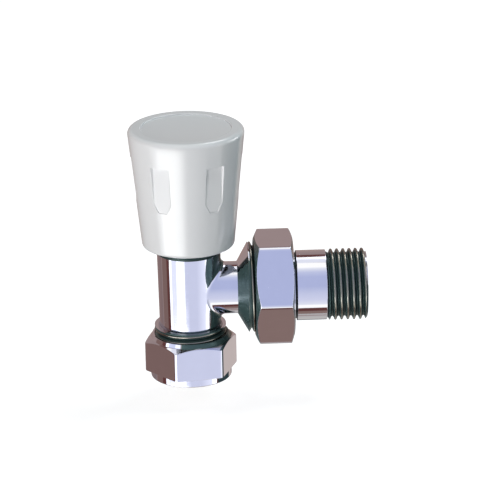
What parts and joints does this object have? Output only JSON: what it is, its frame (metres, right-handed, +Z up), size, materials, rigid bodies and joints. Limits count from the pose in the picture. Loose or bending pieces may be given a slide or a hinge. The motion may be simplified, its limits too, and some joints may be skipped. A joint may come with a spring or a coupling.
{
  "type": "manual radiator valve",
  "caption": "Angle radiator valve in chrome plate with a white handwheel, a compression inlet for copper pipe and a union tail for the radiator.",
  "frame": {"origin": "centre of the pipe entry, in the bottom face of the compression nut", "axes": "+Z up the valve axis towards the handwheel, +X along the outlet towards the radiator"},
  "size_m": [0.0684, 0.0346, 0.076],
  "materials": {
    "chrome_body": "polished chrome plate on brass",
    "chrome_nut": "polished chrome plate on brass",
    "chrome_union": "polished chrome plate on brass",
    "chrome_tail": "polished chrome plate on brass",
    "olive_brass": "bright soft brass",
    "bare_brass": "turned brass",
    "fibre": "red-brown sealing fibre",
    "ptfe": "white sealing ring",
    "black_rubber": "matt rubber",
    "spring_steel": "zinc-plated steel",
    "white_plastic": "gloss white moulding"
  },
  "bodies": {
    "valve": {"valve_body": "chrome_body", "bonnet": "bare_brass", "bonnet_seal": "fibre", "gland_packing": "ptfe", "packing_washer": "bare_brass", "gland_nut": "bare_brass", "tail_seal": "fibre"},
    "closure": {"jumper": "bare_brass", "jumper_clip": "spring_steel", "seat_washer": "black_rubber", "washer_screw": "bare_brass"},
    "wheel": {"handwheel": "white_plastic", "cap_disc": "white_plastic", "lock_washer": "spring_steel", "wheel_screw": "spring_steel", "spindle": "bare_brass"},
    "tail": {"tail_piece": "chrome_tail"},
    "union": {"union_nut": "chrome_union"},
    "ring": {"olive": "olive_brass"},
    "nut": {"compression_nut": "chrome_nut"}
  },
  "joints": [
    {"name": "closure_rise", "type": "slide", "parent": "valve", "child": "closure", "axis": [0, 0, 1], "range_m": [0, 0.00375]},
    {"name": "handwheel_turn", "type": "hinge", "parent": "closure", "child": "wheel", "pos_m": [0, 0, 0.06], "axis": [0, 0, 1], "range_deg": [0, 900]},
    {"name": "tail_slide", "type": "slide", "parent": "valve", "child": "tail", "axis": [1, 0, 0], "range_m": [0, 0.00544]},
    {"name": "union_nut_turn", "type": "hinge", "parent": "tail", "child": "union", "pos_m": [0.0246, 0, 0.02662], "axis": [1, 0, 0], "range_deg": [0, 1080]},
    {"name": "olive_drop", "type": "slide", "parent": "valve", "child": "ring", "axis": [0, 0, -1], "range_m": [0, 0.0068]},
    {"name": "compression_nut_turn", "type": "hinge", "parent": "ring", "child": "nut", "pos_m": [0, 0, 0.006], "axis": [0, 0, -1], "range_deg": [0, 1350]}
  ],
  "couplings": [
    {"joint": "handwheel_turn", "follows": "closure_rise", "rad_per_m": 4188.8},
    {"joint": "union_nut_turn", "follows": "tail_slide", "rad_per_m": 3463.7},
    {"joint": "compression_nut_turn", "follows": "olive_drop", "rad_per_m": 3463.7}
  ]
}
